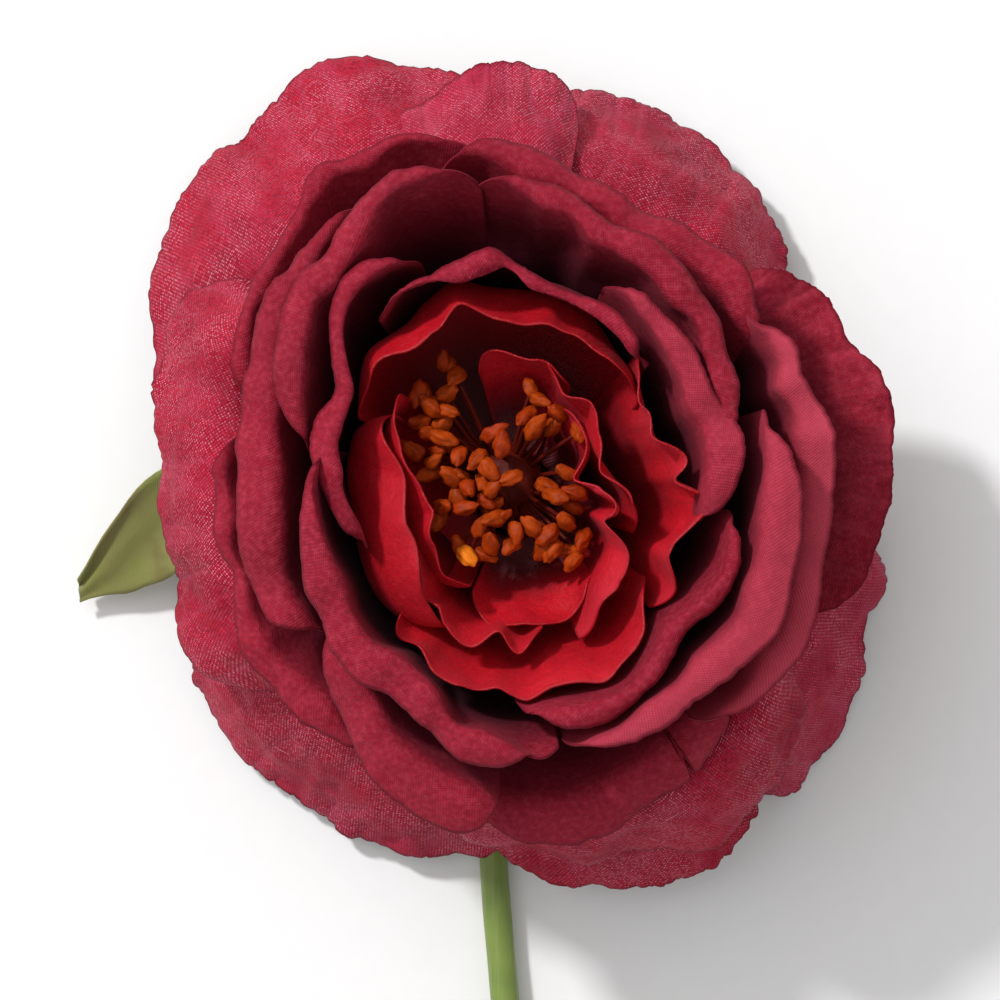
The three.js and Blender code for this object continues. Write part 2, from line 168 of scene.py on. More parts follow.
def tube(shape, path, radii, sides):
    """Extrudes a ring along a path of points, with a radius at each, and closes both ends."""
    ring = None
    previous = None
    for number, middle in enumerate(path):
        ahead = (path[min(number + 1, len(path) - 1)] - path[max(number - 1, 0)]).normalized()
        if previous is None:
            turn = Vector((0, 0, 1)).rotation_difference(ahead)
        else:
            turn = previous[1].rotation_difference(ahead) @ previous[0]
        pose = Matrix.Translation(middle) @ turn.to_matrix().to_4x4()
        if ring is None:
            ring = bmesh.ops.create_circle(shape, segments=sides, radius=1, cap_ends=False)["verts"]
            shape.faces.new(list(reversed(ring)))
        else:
            edges = [e for e in {e for v in ring for e in v.link_edges} if set(e.verts) <= set(ring)]
            grown = bmesh.ops.extrude_edge_only(shape, edges=edges)["geom"]
            made = [v for v in grown if isinstance(v, bmesh.types.BMVert)]
            below = {}
            for vertex in made:
                neighbours = [edge.other_vert(vertex) for edge in vertex.link_edges]
                below[vertex] = next(ring.index(other) for other in neighbours if other in ring)
            ring = sorted(made, key=lambda vertex: below[vertex])
        for side, vertex in enumerate(ring):
            angle = 2 * math.pi * side / sides
            vertex.co = pose @ (Vector((math.cos(angle), math.sin(angle), 0)) * radii[number])
        previous = (turn, ahead)
    shape.faces.new(ring)


def green_plastic():
    n = Nodes("satin green plastic")
    where = n.place("Object", (1, 1, 1))
    clouds = n.noise(where, 70, 3)
    grain_and_painted_highlight = n.noise(n.place("Object", (2200, 120, 2200)), 1, 3)
    tone = n.blend(n.span(clouds, 0.35, 0.65), (0.10, 0.155, 0.028, 1), (0.20, 0.285, 0.050, 1))
    # The streaks along the sheath are real grain in the bump, and in the colour a painted highlight:
    # they blend in a paler yellow green.
    tone = n.blend(n.span(grain_and_painted_highlight, 0.45, 0.75, 0, 0.35), tone, (0.27, 0.33, 0.09, 1))
    fine = n.noise(where, 2600, 2)
    normal = n.bump(grain_and_painted_highlight, 0.00012, 0.35)
    normal = n.bump(fine, 0.00005, 0.3, normal)
    return n.finish(tone, n.span(clouds, 0.3, 0.7, 0.38, 0.55), normal, more={"Coat Weight": 0.15})


GREEN = green_plastic()
stem_shape = bmesh.new()
stem_path = [at(*spline(STEM_POINTS, i / STEM_STATIONS)) for i in range(STEM_STATIONS + 1)]
stem_radii = []
for point in stem_path:
    from_knot = (-(point - AXIS).y / MM - KNOT_MIDDLE) / KNOT_HALF_LENGTH
    swell = KNOT_SWELL * math.exp(-KNOT_TAPER * from_knot * from_knot)
    ripple = SHEATH_RIPPLE * noise.noise(point * RIPPLES_PER_METRE)
    stem_radii.append((SHEATH_RADIUS + swell + ripple) * MM)
tube(stem_shape, stem_path, stem_radii, STEM_SIDES)
bmesh.ops.recalc_face_normals(stem_shape, faces=stem_shape.faces)
stem = piece_from("stem", stem_shape, GREEN)
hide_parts("stem_sheath")


def wire_steel():
    n = Nodes("drawn steel")
    streaks = n.noise(n.place("Object", (4000, 200, 4000)), 1, 2)
    tone = n.blend(n.span(streaks, 0.3, 0.7), (0.24, 0.24, 0.25, 1), (0.42, 0.42, 0.43, 1))
    return n.finish(tone, n.span(streaks, 0.3, 0.7, 0.3, 0.5), n.bump(streaks, 0.00005, 0.4),
                    more={"Metallic": 1.0})


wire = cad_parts["stem_wire"]
wire.data.materials.clear()
wire.data.materials.append(wire_steel())

# ---- Calyx ----
# A moulded green cup clips under the flower, and over it sits a star of five sepals die-cut from
# olive cloth. The sepals are stiffened, curled by heat and a little twisted.
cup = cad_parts["calyx_cup"]
cup.data.materials.clear()
cup.data.materials.append(GREEN)

SEPAL_CELLS = (16, 44)
SEPAL_THICKNESS = 0.3
STAR_HEIGHT = 18.5
# Each sepal's direction, length, width, height of its tip and twist in degrees at the tip.
SEPALS = {
    "sepal_left": (183, 66.5, 18, 4.0, -30),
    "sepal_upper": (118, 42, 14, 12, 15),
    "sepal_upper_right": (46, 38, 14, 13, -12),
    "sepal_lower_right": (-26, 40, 14, 12, 18),
    "sepal_bottom": (258, 36, 14, 13, -15),
}
SEPAL_OUTLINE = [(0.42,), (0.62,), (0.86,), (0.98,), (1.0,), (0.98,), (0.96,), (0.80,), (0.22,)]
SEPAL_ROOT = 3.5  # how far from the axis a sepal starts
SEPAL_LEVEL = 10  # how far from the axis it stays level before it droops
SEPAL_DROOP = 1.3
HOOK = 11  # how far the left sepal's tip bends aside
HOOK_START = 0.70
SWAY = 2.5  # how far the other sepals wander aside
RUFFLE = 0.22  # unevenness of the die-cut edge, against the half width
RUFFLES = 13
CHANNEL = 0.14  # depth of the fold along a sepal's middle, against the half width
CURL = 1.6
SEPAL_CLEARANCE = 0.4


def sepal_cloth():
    n = Nodes("olive sepal cloth")
    weave_place = n.place("UV", (1, 1, 1))
    weave = n.add("ShaderNodeTexWave", {"Vector": weave_place, "Scale": 0.95, "Distortion": 0.6},
                  bands_direction="X").outputs["Fac"]
    weft = n.add("ShaderNodeTexWave", {"Vector": weave_place, "Scale": 0.95, "Distortion": 0.6},
                 bands_direction="Y").outputs["Fac"]
    threads = n.math("MULTIPLY", weave, weft)
    clouds = n.noise(n.place("Object", (1, 1, 1)), 110, 4)
    tone = n.blend(n.span(clouds, 0.4, 0.6), (0.30, 0.32, 0.065, 1), (0.44, 0.46, 0.13, 1))
    aged = n.math("ADD", n.attribute("tip"), n.span(clouds, 0.3, 0.7, -0.25, 0.25))
    tone = n.blend(n.span(aged, 0.70, 1.15), tone, (0.21, 0.155, 0.045, 1))
    tone = n.blend(n.span(threads, 0.0, 1.0, 0.3, 0.0), tone, (0.05, 0.06, 0.012, 1))
    normal = n.bump(threads, 0.00012, 0.6)
    normal = n.bump(n.noise(n.place("Object", (1, 1, 1)), 500, 3), 0.0004, 0.4, normal)
    return n.finish(tone, n.span(clouds, 0.3, 0.7, 0.55, 0.75), normal, light_through=0.12,
                    more={"Sheen Weight": 0.2})


OLIVE = sepal_cloth()


def grid(cells, *marks):
    """A flat grid, each vertex with its share across and along, and a layer for each mark."""
    shape = bmesh.new()
    layers = [shape.verts.layers.float.new(mark) for mark in marks]
    bmesh.ops.create_grid(shape, x_segments=cells[0], y_segments=cells[1], size=1)
    shape.verts.index_update()
    return shape, layers, [(v, (v.co.x + 1) / 2, (v.co.y + 1) / 2) for v in shape.verts]


def lay_threads(shape, cloth_place, grain):
    """Gives the cloth its own flat coordinates in millimetres, turned to the grain of the weave."""
    layer = shape.loops.layers.uv.new("threads")
    along, across = math.cos(math.radians(grain)), math.sin(math.radians(grain))
    for face in shape.faces:
        for loop in face.loops:
            x, y = cloth_place[loop.vert.index]
            loop[layer].uv = (x * along - y * across, x * across + y * along)


for number, (name, (azimuth, length, width, tip, twist)) in enumerate(SEPALS.items()):
    shape, (tips,), spots = grid(SEPAL_CELLS, "tip")
    cloth_place = {}
    for vertex, across, along in spots:
        side = 2 * across - 1
        half = width / 2 * spline(SEPAL_OUTLINE, along)[0]
        uneven = noise.noise(Vector((along * RUFFLES, math.copysign(1, side), number * 3)))
        half *= 1 + RUFFLE * uneven
        reach = SEPAL_ROOT + (length - SEPAL_ROOT) * along
        droop = max(0.0, (reach - SEPAL_LEVEL) / (length - SEPAL_LEVEL)) ** SEPAL_DROOP
        height = STAR_HEIGHT - (STAR_HEIGHT - tip) * droop
        lean = math.radians(twist) * along ** 2
        if name == "sepal_left":
            sway = HOOK * max(0.0, (along - HOOK_START) / (1 - HOOK_START)) ** 1.5
        else:
            sway = SWAY * math.sin(along * 5 + number) * along
        fold = CHANNEL * half * (abs(side) - 0.5)
        curl = noise.noise(Vector((side * 1.2, along * 6, 7 + number))) * CURL * along
        spot_side = side * half * math.cos(lean)
        spot_up = side * half * math.sin(lean) + fold + curl
        turn = Matrix.Rotation(math.radians(azimuth), 3, "Z")
        lifted = max(height + spot_up, SEPAL_CLEARANCE)
        vertex.co = AXIS + turn @ Vector((reach, spot_side + sway, lifted)) * MM
        vertex[tips] = along
        cloth_place[vertex.index] = (side * half, reach)
    lay_threads(shape, cloth_place, 0.0)
    bmesh.ops.recalc_face_normals(shape, faces=shape.faces)
    cloth_area = sum(face.calc_area() for face in shape.faces)
    piece = piece_from(name, shape, OLIVE)
    solid = piece.modifiers.new("thickness", "SOLIDIFY")
    solid.thickness = SEPAL_THICKNESS * MM
    solid.offset = 0
    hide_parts("calyx_star")

# ---- Core and stamens ----
# The petals are glued round a plug of dark foam. On it sits a moulded button with stamens: waxy
# orange anthers, each on its own thin plastic filament.
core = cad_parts["petal_core"]


def dark_foam():
    n = Nodes("dark foam")
    cells = n.noise(n.place("Object", (1, 1, 1)), 900, 4)
    tone = n.blend(n.span(cells, 0.3, 0.7), (0.03, 0.004, 0.007, 1), (0.09, 0.014, 0.02, 1))
    return n.finish(tone, n.span(cells, 0.3, 0.7, 0.8, 0.95), n.bump(cells, 0.0003, 0.6), more={
        "Specular IOR Level": 0.1})


core.data.materials.clear()
core.data.materials.append(dark_foam())

# Where each anther of the upper layer is, as east, north and height in millimetres.
ANTHERS = [
    (-10.2, 19.3, 45.0), (-8.4, 16.9, 46.0), (-9.6, 14.5, 45.6), (-13.8, 14.4, 45.2),
    (-12.0, 12.6, 46.4), (-9.4, 12.0, 46.6), (-14.2, 10.4, 45.4), (-12.4, 8.8, 46.4),
    (-10.0, 8.0, 47.2), (-14.6, 6.4, 45.4), (-8.0, 5.6, 47.6), (-11.6, 4.8, 46.6),
    (-5.4, 5.0, 48.4), (-1.8, 7.3, 48.6), (-3.6, 3.6, 48.8), (-9.2, 2.6, 47.0),
    (-6.6, 1.0, 48.0), (-3.2, 0.8, 48.8), (-0.8, 2.3, 48.6), (-7.0, -1.8, 47.4),
    (-10.2, -1.6, 46.4), (-3.2, -3.4, 48.2), (-2.0, -3.2, 47.2), (0.2, -5.4, 47.8),
    (2.4, -4.4, 47.6), (-6.8, -8.8, 47.2), (-3.4, -6.9, 46.8), (5.4, -8.0, 46.4),
    (8.4, -9.4, 46.2), (9.7, -6.3, 46.6), (7.2, -3.7, 47.4), (5.9, -0.2, 47.8),
    (8.6, 0.4, 47.0), (7.4, 3.2, 47.4), (3.6, 13.6, 45.6), (6.2, 11.8, 45.8),
    (9.2, 9.0, 46.0), (3.0, 9.8, 46.4), (4.6, -5.8, 47.4), (-5.0, -4.6, 46.8),
]
# A second, lower layer: one beside each anther, but for every third.
LOWER_BESIDE = 1.9
LOWER_BY = 1.7
ANTHERS += [
    (east + LOWER_BESIDE * math.cos(2.1 * number), north + LOWER_BESIDE * math.sin(2.1 * number),
     height - LOWER_BY)
    for number, (east, north, height) in enumerate(ANTHERS) if number % 3
]
# The one anther that the main light reaches is painted bright orange, as a painted highlight.
PAINTED_LIT_ANTHER = 25
ANTHER_SIZE = (1.2, 1.0, 1.95)
FILAMENT_RADIUS = 0.38
FILAMENT_TAPER = 0.25
FILAMENT_STEPS = 6
FILAMENT_SIDES = 7
ANTHER_LIFT = 0.6
BUTTON_RADIUS = 5.4
BUTTON_DOME = 3.4
BUTTON_HEIGHT = 3.2
BUTTON_TOP = 41.4
BUTTON_EAST = -1.2
BUTTON_NORTH = 1.8
ROOT_CIRCLE = 4.2  # how far from the button's middle the filaments leave it, at most
ROOT_CROWDING = 0.85
ROOT_DEPTH = 1.6
BUTTON_SLOPE = 0.12
FILAMENT_BOW = 0.9


def waxy_orange():
    n = Nodes("waxy orange plastic")
    where = n.place("Object", (1, 1, 1))
    mottle = n.noise(where, 700, 3)
    tone = n.blend(n.span(mottle, 0.35, 0.65), (0.21, 0.015, 0.001, 1), (0.37, 0.036, 0.002, 1))
    # Painted light: most anthers take a small random share of the bright orange, and the lit anther
    # takes all of it.
    tone = n.blend(n.attribute("tone_and_painted_light"), tone, (0.80, 0.20, 0.01, 1))
    tone = n.blend(n.attribute("stalk"), tone, (0.10, 0.007, 0.003, 1))
    grain = n.noise(where, 2600, 3)
    normal = n.bump(grain, 0.00016, 0.5)
    return n.finish(tone, n.span(mottle, 0.3, 0.7, 0.42, 0.6), normal, more={
        "Subsurface Weight": 0.1, "Subsurface Radius": (1.0, 0.3, 0.1), "Subsurface Scale": 0.001,
        "Specular IOR Level": 0.12})


stamen_shape = bmesh.new()
stalk = stamen_shape.verts.layers.float.new("stalk")
tone_and_painted_light = stamen_shape.verts.layers.float.new("tone_and_painted_light")
button_middle = Vector((BUTTON_EAST, BUTTON_NORTH, BUTTON_TOP - BUTTON_HEIGHT))
button = bmesh.ops.create_uvsphere(stamen_shape, u_segments=40, v_segments=20, radius=1)["verts"]
for vertex in button:
    dimple = 1 + 0.10 * noise.noise(vertex.co * 3.5)
    x, y, z = vertex.co
    domed = Vector((x * BUTTON_RADIUS, y * BUTTON_RADIUS, max(z, -0.2) * BUTTON_DOME))
    vertex.co = at(*(domed * dimple + button_middle))
    vertex[stalk] = 1.0
for number, (east, north, height) in enumerate(ANTHERS):
    tip = Vector((east, north, height))
    outward = Vector((east - BUTTON_EAST, north - BUTTON_NORTH, 0))
    root = outward * min(1.0, ROOT_CIRCLE / max(outward.length, 0.1)) * ROOT_CROWDING
    root += Vector((BUTTON_EAST, BUTTON_NORTH, 0))
    root.z = BUTTON_TOP - ROOT_DEPTH - BUTTON_SLOPE * root.length
    wander = Vector((0.5 * math.sin(number * 2.4), 0.5 * math.cos(number * 1.7), FILAMENT_BOW))
    bow = (root + tip) / 2 + wander
    path = []
    radii = []
    for step in range(FILAMENT_STEPS + 1):
        t = step / FILAMENT_STEPS
        path.append(at(*((1 - t) ** 2 * root + 2 * t * (1 - t) * bow + t * t * tip)))
        radii.append(FILAMENT_RADIUS * (1 - FILAMENT_TAPER * t) * MM)
    before = set(stamen_shape.verts)
    tube(stamen_shape, path, radii, FILAMENT_SIDES)
    for vertex in set(stamen_shape.verts) - before:
        vertex[stalk] = 1.0
    body = bmesh.ops.create_icosphere(stamen_shape, subdivisions=3, radius=1)["verts"]
    leaning = Vector((
        math.sin(number * 4.1), math.cos(number * 2.9), 0.55 + 0.5 * math.sin(number * 1.3)))
    lean = Vector((0, 0, 1)).rotation_difference(leaning.normalized()).to_matrix()
    size = 0.88 + 0.24 * abs(math.sin(number * 3.7))
    for vertex in body:
        co = vertex.co.copy()
        groove = 1 - 0.28 * math.exp(-((co.y / 0.22) ** 2)) * (0.6 + 0.4 * abs(co.z))
        taper = 1 - 0.22 * co.z
        lump = 1 + 0.30 * noise.noise(co * 1.7 + Vector((number, 0, 0)))
        pod = Vector((
            co.x * ANTHER_SIZE[0] * groove * taper, co.y * ANTHER_SIZE[1] * taper,
            co.z * ANTHER_SIZE[2]))
        vertex.co = at(*(tip + lean @ (pod * lump * size) + Vector((0, 0, ANTHER_LIFT))))
        # Full painted light on the lit anther, and a small random tone on the others.
        vertex[tone_and_painted_light] = 1.0 if number == PAINTED_LIT_ANTHER else 0.10 * abs(math.sin(number * 5.3))
bmesh.ops.recalc_face_normals(stamen_shape, faces=stamen_shape.faces)
stamens = piece_from("stamen_cluster", stamen_shape, waxy_orange())
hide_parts("stamens")

# ---- Centre petals ----
# The first four petals round the stamens, cut from thin scarlet satin and shaped with a hot iron
# so that they stand up and ripple. Their feet are glued to the core in rows, one above the other.
FOOT_RADIUS = 6.0
FIRST_FOOT = 20.4
FOOT_PITCH = 0.86
CLOTH = 0.28
TABLE_CLEARANCE = 0.35
WALL_STEPS = 32
LIP_STEPS = 24
BELLY_SKEW = 0.8  # below 1, a petal bulges more towards its foot
ROLL_SHARE = 0.25  # height of the rolled crest, against the width of the lip
ROLL_LEAST = 0.2
LIP_PULL = 0.40  # how rounded the lip is, against its width
ROLL_PULL = 0.35
ROW_CROWDING = 0.8  # below 1, the grid's rows crowd towards the rim
HELD_SHARE = 0.35  # the part by the foot that glue and neighbours hold smooth
EDGE_WIDTH = 0.7  # how far in from the cut edge the cloth is darker
WAVE_STRETCH = 2.5  # a wave's length from foot to rim, against its spacing along the rim
# Raggedness of the cut edge as length of one wave, depth and place in the noise.
FRAYS = ((1.7, 1.0, 0), (7, 1.6, 5), (0.5, 0.5, 2))
# Creases and dents as their spacing along the rim, their length and place in the noise.
FOLDS = (5.5, 30, 3)
PINCHES = (2.4, 40, 6)
DENTS = (6, 7, 9)
SMALL_DENTS = (2.6, 3, 4)
FOLD_SHARPNESS = 5
FOLD_MEAN = 0.25
PINCH_NARROWNESS = 4
PINCH_DEPTH = 1.3
CREASE_WEAR = 0.35
# Sizes of the dye clouds, the nap, the fibres and the soft dents, as repeats in a metre.
CLOUDS_PER_METRE = 60
NAPS_PER_METRE = 1150
FIBRES_PER_METRE = 2300
DENTS_PER_METRE = 330
# The angle of the weave in degrees, which differs between a row's petals and the next row's.
GRAIN_LEAST = 15
GRAIN_STEP = 37
GRAIN_RANGE = 50
SPARK = (0.74, 0.24, 0.32, 1)
SLUB = (0.80, 0.42, 0.48, 1)


def petal_cloth(name, deep, base, pale, dark, thread, weave_depth, nap, sheen, rough, dark_from,
                gloss, light_through=0.0, glint=0.0):
    """Woven cloth for a petal: dyed unevenly and napped, with painted shade towards the foot, and
    darker at the cut edge.
    """
    n = Nodes(name)
    flat = n.place("UV", (1, 1, 1))
    where = n.place("Object", (1, 1, 1))
    bands = 0.314 / thread  # the wave texture repeats 3.18 times a unit at a scale of 1
    warp, weft = (
        n.add("ShaderNodeTexWave", {
            "Vector": flat, "Scale": bands, "Distortion": 1.4, "Detail": 2.0, "Detail Scale": 0.35,
        }, bands_direction=way).outputs["Fac"]
        for way in ("X", "Y"))
    threads = n.math("MULTIPLY", warp, weft)
    clouds = n.noise(where, CLOUDS_PER_METRE, 5, 0.6)
    mottle = n.noise(where, NAPS_PER_METRE, 5, 0.65)
    fibres = n.noise(where, FIBRES_PER_METRE, 2)
    tone = n.blend(n.span(clouds, 0.30, 0.55, 0.35, 1.0), deep, base)
    tone = n.blend(n.span(mottle, 0.40, 0.72, 0, nap), tone, pale)
    tone = n.blend(n.span(fibres, 0.40, 0.64, 0.0, 0.6), tone, deep)
    # Paler at the crease ridges for wear, and as painted light over the free part of the petals that
    # stand in the light.
    tone = n.blend(n.attribute("wear_and_painted_light"), tone, pale)
    tone = n.blend(n.span(threads, 0.0, 0.55, weave_depth, 0.0), tone, deep)
    if glint:
        # Thread crossings that catch the light, in patches, and a few thicker lengths of yarn.
        patches = n.span(n.noise(n.place("UV", (0.09, 0.09, 1)), 1, 2), 0.36, 0.58)
        sparks = n.span(n.noise(n.place("UV", (1.9, 1.9, 1)), 1, 2), 0.46, 0.58)
        shine = n.math("MULTIPLY", n.span(threads, 0.15, 0.60), patches)
        shine = n.math("MULTIPLY", shine, sparks)
        tone = n.blend(n.math("MULTIPLY", shine, glint), tone, SPARK)
        long_way = n.noise(n.place("UV", (0.16, 2.4, 1)), 1, 2, 0.4)
        short_way = n.noise(n.place("UV", (2.4, 0.16, 1)), 1, 2, 0.4)
        here = n.span(n.noise(n.place("UV", (0.05, 0.05, 1)), 1, 1), 0.44, 0.60)
        slubs = n.math("MAXIMUM", n.span(long_way, 0.68, 0.75), n.span(short_way, 0.72, 0.79))
        slubs = n.math("MULTIPLY", n.math("MULTIPLY", slubs, here), 0.3)
        tone = n.blend(slubs, tone, SLUB)
    # Painted shade: the cloth darkens towards the glued foot, deep in the cup, where little light
    # reaches.
    tone = n.blend(n.span(n.attribute("inside"), dark_from, dark_from + 0.40), tone, dark)
    tone = n.blend(n.span(n.attribute("edge"), 0.35, 1.0, 0.0, 0.85), tone, deep)
    normal = n.bump(threads, thread * 0.3 * MM, 0.6)
    normal = n.bump(mottle, 0.00022, 0.6, normal)
    normal = n.bump(n.noise(where, DENTS_PER_METRE, 3), 0.0005, 0.4, normal)
    roughness = n.span(mottle, 0.3, 0.7, rough - 0.08, rough + 0.08)
    return n.finish(tone, roughness, normal, light_through, more={
        "Sheen Weight": sheen, "Sheen Roughness": 0.4, "Sheen Tint": (1.0, 0.45, 0.55, 1),
        "Specular IOR Level": gloss})


def section(radius, lip, crest, foot, drop, cup, belly, hang, turn_over):
    """From the glued foot up the wall and over the lip to the cut edge, as radius and height."""
    start = crest - turn_over
    inner = radius - lip
    points = []
    for step in range(WALL_STEPS + 1):
        q = step / WALL_STEPS
        rise = q ** cup
        bulge = belly * math.sin(math.pi * rise ** BELLY_SKEW)
        points.append(Vector((
            FOOT_RADIUS + (inner - FOOT_RADIUS) * q + bulge, foot + (start - foot) * rise)))
    if lip == 0:
        return points
    leaving = (points[-1] - points[-2]).normalized()
    arriving = Vector((math.cos(math.radians(hang)), -math.sin(math.radians(hang))))
    end = Vector((radius, crest - drop))
    pull = LIP_PULL * (end - points[-1]).length + ROLL_PULL * turn_over
    a, b, c, d = points[-1], points[-1] + leaving * pull, end - arriving * pull, end
    for step in range(1, LIP_STEPS + 1):
        t = step / LIP_STEPS
        points.append(
            (1 - t) ** 3 * a + 3 * t * (1 - t) ** 2 * b + 3 * t * t * (1 - t) * c + t ** 3 * d)
    return points


def dent(arc, length, grain, seed):
    """Noise over the flat cloth, stretched to a grain's spacing and length."""
    return noise.noise(Vector((arc / grain[0], length / grain[1], grain[2])) + seed)


def petal(name, material, slot, rim, row, crest, drop, cup, corner, corner_power, wave, wave_length,
          crumple, nick, cells, hang=0.0, belly=0.0, turn_over=None, crease=0.0, notches=(),
          painted_light=0.0, shade=1.0):
    """One petal. rim is the cut edge as azimuth, radius, width of the lip and rise over the crest.

    row counts the glued feet from the lowest, drop is how far the cut edge lies below the crest
    against the lip, and hang is the angle at which the lip ends below the level.
    """
    seed = Vector((row * 7.3 + rim[0][0] * 0.11, row * 3.1, rim[-1][0] * 0.07))
    foot = FIRST_FOOT + FOOT_PITCH * row
    shape, (edge, inside, wear_and_painted_light), spots = grid(cells, "edge", "inside", "wear_and_painted_light")
    columns = {}
    for vertex, across, along in spots:
        columns.setdefault(round(across * cells[0]), []).append((vertex, along))
    middle = spline(rim, 0.5)
    span = math.radians(rim[-1][0] - rim[0][0])
    cloth_place = {}
    widest = 0.0
    longest = 0.0
    for number, column in columns.items():
        across = number / cells[0]
        azimuth, radius, lip, rise = spline(rim, across)
        side = abs(2 * across - 1)
        over = turn_over if turn_over is not None else ROLL_SHARE * lip + ROLL_LEAST
        points = section(
            radius, lip, crest + rise, foot, drop * lip, cup, belly * (1 - side ** 4), hang, over)
        lengths = [0.0]
        for one, other in zip(points, points[1:]):
            lengths.append(lengths[-1] + (other - one).length)
        arc = (across - 0.5) * span * middle[1]
        ragged = sum(
            nick * depth * noise.noise(Vector((arc / size, place, 0)) + seed)
            for size, depth, place in FRAYS)
        for spot, depth, width in notches:
            ragged -= depth * math.exp(-(((across - spot) * span * middle[1]) / width) ** 2)
        whole = lengths[-1] * (1 - corner * side ** corner_power) + ragged
        longest = max(longest, whole)
        turn = math.radians(azimuth)
        piece_at = 0
        for vertex, along in sorted(column, key=lambda item: item[1]):
            length = whole * along ** ROW_CROWDING
            while piece_at < len(lengths) - 2 and lengths[piece_at + 1] < length:
                piece_at += 1
            step = points[piece_at + 1] - points[piece_at]
            place = points[piece_at] + step * (
                (length - lengths[piece_at]) / max(step.length, 1e-6))
            step.normalize()
            out = Vector((step.y, -step.x))
            free = min(1.0, max(0.0, (length / whole - HELD_SHARE) / (1 - HELD_SHARE)))
            flat = place.x * (across - 0.5) * span
            ripples = (wave_length, wave_length * WAVE_STRETCH, 0)
            shift = wave * dent(arc, length, ripples, seed) * 2 * free ** 2
            fold = max(0.0, 1 - abs(dent(arc, length, FOLDS, seed)) * 2)
            shift += crease * (fold ** FOLD_SHARPNESS - FOLD_MEAN) * free
            pinch = max(0.0, 1 - abs(dent(arc, length, PINCHES, seed)) * PINCH_NARROWNESS)
            shift += PINCH_DEPTH * crease * pinch ** 2 * free ** 7
            uneven = dent(arc, length, DENTS, seed) + 0.5 * dent(arc, length, SMALL_DENTS, seed)
            shift += crumple * uneven * free
            place = place + out * shift
            vertex.co = AXIS + MM * Vector((
                place.x * math.cos(turn), place.x * math.sin(turn),
                max(place.y, TABLE_CLEARANCE)))
            from_rim = min(whole - length, (1 - side) * 0.5 * span * place.x)
            vertex[edge] = math.exp(-from_rim / EDGE_WIDTH)
            # How deep in the cup a point lies, for the painted shade; shade sets how strong it is
            # for each petal.
            vertex[inside] = shade * (1 - length / whole)
            wear = CREASE_WEAR * fold ** 8 * free if crease else 0.0
            # Wear along the crease ridges, and painted light over the free part of the petal, its
            # amount given for each petal.
            vertex[wear_and_painted_light] = min(1.0, wear + painted_light * free ** 3)
            cloth_place[vertex.index] = (flat, length)
            widest = max(widest, abs(flat) * 2)
    lay_threads(shape, cloth_place, GRAIN_LEAST + (row * GRAIN_STEP) % GRAIN_RANGE)
    bmesh.ops.recalc_face_normals(shape, faces=shape.faces)
    cloth_area = sum(face.calc_area() for face in shape.faces)
    piece = piece_from(name + "_cloth", shape, material)
    solid = piece.modifiers.new("thickness", "SOLIDIFY")
    solid.thickness = CLOTH * MM
    solid.offset = 0
    width = widest * MM
    length = longest * MM
    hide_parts(name)


SCARLET = petal_cloth(
    "scarlet satin", deep=(0.42, 0.003, 0.010, 1), base=(0.80, 0.007, 0.020, 1),
    pale=(0.95, 0.055, 0.095, 1), dark=(0.10, 0.001, 0.005, 1), thread=0.26, weave_depth=0.2,
    nap=0.25, sheen=0.05, rough=0.38, dark_from=0.30, light_through=0.22, gloss=0.40)
THIN = {"material": SCARLET, "slot": "heart_cloth", "drop": 0, "cells": (100, 46), "corner": 0.16,
        "corner_power": 6, "nick": 0.18, "crumple": 0.30}

petal("centre_petal_top", row=19, crest=50, cup=3, wave=1.35, wave_length=4, **THIN,
      rim=[(62, 17, 0, 0), (76, 19.5, 0, 0), (90, 20.5, 0, 0), (106, 20, 0, 0)])
petal("centre_petal_bottom", row=19, crest=47, cup=2.4, wave=1.05, wave_length=5, **THIN,
      rim=[(246, 15.5, 0, -2), (258, 18.5, 0, -1), (270, 19, 0, 1), (286, 18.5, 0, 1),
           (302, 18, 0, 0), (316, 17, 0, -1)])
petal("centre_petal_right", row=18, crest=54, cup=3, wave=2.2, wave_length=4, painted_light=0.7, **THIN,
      rim=[(-66, 22.5, 0, -2), (-54, 20, 0, 0), (-44, 18.6, 0, 0), (-34, 18, 0, 1),
           (-24, 16.5, 0, 1), (-14, 12.6, 0, 1), (-5, 14.8, 0, 1), (4, 12.2, 0, 0),
           (14, 9.6, 0, -2), (28, 12.5, 0, -3), (44, 13.2, 0, -2), (60, 14.5, 0, -2)])
petal("centre_petal_left", row=18, crest=55, cup=4, belly=5, wave=1.2, wave_length=4, shade=0.6,
      **THIN,
      rim=[(138, 22, 0, 0), (145, 20, 0, 1), (152, 18.6, 0, 0), (160, 16.6, 0, 0),
           (170, 14.4, 0, 0), (181, 13.2, 0, 0), (192, 12, 0, 0), (204, 13.2, 0, 0),
           (216, 13.8, 0, -1), (230, 14.8, 0, -2), (244, 15.4, 0, -3)])

